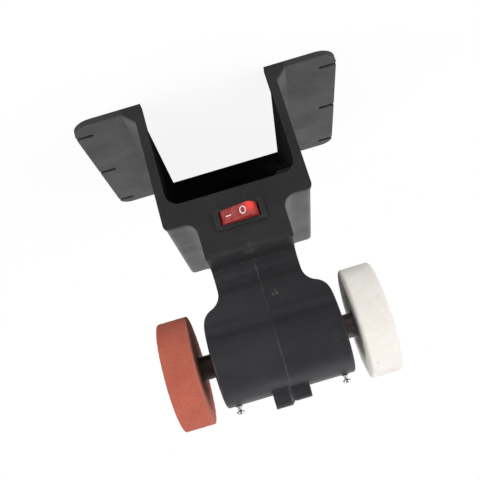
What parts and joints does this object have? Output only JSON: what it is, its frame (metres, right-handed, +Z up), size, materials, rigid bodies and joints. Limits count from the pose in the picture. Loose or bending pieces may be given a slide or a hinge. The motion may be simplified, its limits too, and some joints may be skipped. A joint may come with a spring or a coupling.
{
  "type": "cordless mini bench grinder",
  "caption": "Saddle-shaped plastic stand with a barrel motor on a neck, a grinding wheel and a felt polishing wheel on its spindle, a rocker switch and a slide-in battery dock.",
  "frame": {"origin": "centre of the overall footprint, on the floor", "axes": "+X along the spindle towards the grinding wheel, the switch faces -Y, +Z up"},
  "size_m": [0.179, 0.1498, 0.2042],
  "materials": {
    "shell": "satin moulded",
    "panel": "fine matt grain",
    "switch_black": "semi-gloss",
    "rocker_red": "translucent gloss",
    "dock_black": "matt",
    "contact_brass": "bright",
    "screw_steel": "zinc plated",
    "black_steel": "black oxide",
    "arbor_steel": "dark oxide",
    "motor_steel": "zinc plated",
    "magnet": "sintered ferrite",
    "core_iron": "stamped steel laminations",
    "copper": "enamelled copper",
    "carbon": "pressed carbon",
    "felt": "pressed wool felt",
    "abrasive": "gritty bonded abrasive",
    "wire_red": "insulation",
    "wire_orange": "insulation",
    "wire_black": "insulation"
  },
  "bodies": {
    "stand": {"housing_left": "shell", "housing_right": "shell", "front_panel": "panel", "housing_screws": "screw_steel", "motor_screws": "screw_steel", "switch_body": "switch_black", "switch_terminals": "contact_brass", "motor_can": "motor_steel", "motor_magnets": "magnet", "motor_end_bell": "dock_black", "brush_holders": "contact_brass", "carbon_brushes": "carbon", "motor_terminals": "contact_brass", "bearings": "motor_steel", "battery_dock": "dock_black", "terminal_block": "dock_black", "contact_blades": "contact_brass", "dock_screws": "screw_steel", "supply_wire": "wire_red", "motor_wire": "wire_orange", "return_wire": "wire_black"},
    "spindle": {"motor_shaft": "motor_steel", "armature_core": "core_iron", "armature_windings": "copper", "commutator": "copper", "arbor_left": "arbor_steel", "arbor_right": "arbor_steel", "grub_screws": "black_steel", "wheel_felt": "felt", "wheel_abrasive": "abrasive", "wheel_washers": "screw_steel", "wheel_nuts": "screw_steel"},
    "rocker": {"switch_rocker": "rocker_red"}
  },
  "joints": [
    {"name": "spindle_spin", "type": "hinge", "parent": "stand", "child": "spindle", "pos_m": [0, -0.01562, 0.1668], "axis": [1, 0, 0], "continuous": true},
    {"name": "rocker_tilt", "type": "hinge", "parent": "stand", "child": "rocker", "pos_m": [0, -0.06448, 0.0918], "axis": [0, 0, 1], "range_deg": [-30, 0]}
  ]
}
